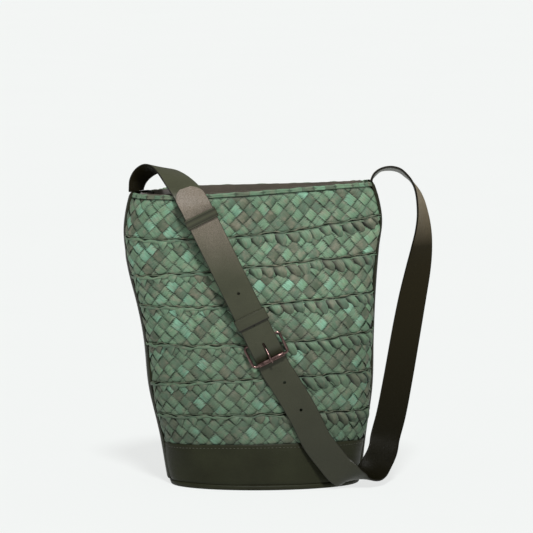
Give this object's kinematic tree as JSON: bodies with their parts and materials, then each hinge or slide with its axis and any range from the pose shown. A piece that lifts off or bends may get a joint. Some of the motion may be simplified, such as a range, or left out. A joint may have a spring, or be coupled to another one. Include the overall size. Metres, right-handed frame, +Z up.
{
  "type": "bucket bag",
  "caption": "Soft plaited bucket bag on a stiff leather base, open at the top, with leather side strips and a shoulder strap that buckles across its front.",
  "frame": {"origin": "centre of the base's underside, on the surface that the bag stands on", "axes": "+Z up through the open mouth, +X to the right as the buckled front is seen, -Y towards the front"},
  "size_m": [0.3122, 0.1386, 0.3216],
  "materials": {
    "plait": "matt green strips plaited on the slant, in several shades",
    "leather": "dark olive smooth leather, semi-matt, with a fine grain",
    "strap": "dark olive-brown leather with paler cut edges and a raw flesh side",
    "suede": "brown-grey suede facing",
    "lining": "plain matt cloth",
    "board": "grey-brown fibre board",
    "bronze": "dark rose bronze plating, polished"
  },
  "bodies": {
    "bag": {"front_braid_1": "plait", "front_braid_2": "plait", "front_braid_3": "plait", "front_braid_4": "plait", "front_braid_5": "plait", "front_braid_6": "plait", "front_braid_7": "plait", "front_base_band": "leather", "front_rim_hem": "plait", "front_rim_facing": "suede", "back_braid_1": "plait", "back_braid_2": "plait", "back_braid_3": "plait", "back_braid_4": "plait", "back_braid_5": "plait", "back_braid_6": "plait", "back_braid_7": "plait", "back_base_band": "leather", "back_rim_hem": "plait", "back_rim_facing": "suede", "side_strip_left": "leather", "side_strip_right": "leather", "lining": "lining", "base_panel": "leather", "base_board": "board", "base_welt": "leather"},
    "strap": {"buckle_strap": "strap", "hole_strap": "strap", "keeper_fixed": "strap"},
    "keeper": {"keeper_sliding": "strap"},
    "buckle": {"buckle_frame": "bronze"},
    "roller": {"buckle_roller": "bronze"},
    "prong": {"buckle_prong": "bronze"}
  },
  "joints": [
    {"name": "strap_swing", "type": "hinge", "parent": "bag", "child": "strap", "pos_m": [-0.129, 0, 0.309], "axis": [-0.9993, 0, -0.0384], "range_deg": [0, 105]},
    {"name": "keeper_slide", "type": "slide", "parent": "strap", "child": "keeper", "axis": [0.44, 0, -0.898], "range_m": [0, 0.075]},
    {"name": "buckle_tilt", "type": "hinge", "parent": "strap", "child": "buckle", "pos_m": [-0.0098, -0.0641, 0.15], "axis": [-0.898, 0, -0.44], "range_deg": [0, 12]},
    {"name": "prong_lift", "type": "hinge", "parent": "buckle", "child": "prong", "pos_m": [-0.0098, -0.0641, 0.15], "axis": [-0.898, 0, -0.44], "range_deg": [0, 15]},
    {"name": "roller_spin", "type": "hinge", "parent": "buckle", "child": "roller", "pos_m": [-0.00034, -0.0677, 0.13069], "axis": [0.898, 0, 0.44], "continuous": true}
  ]
}
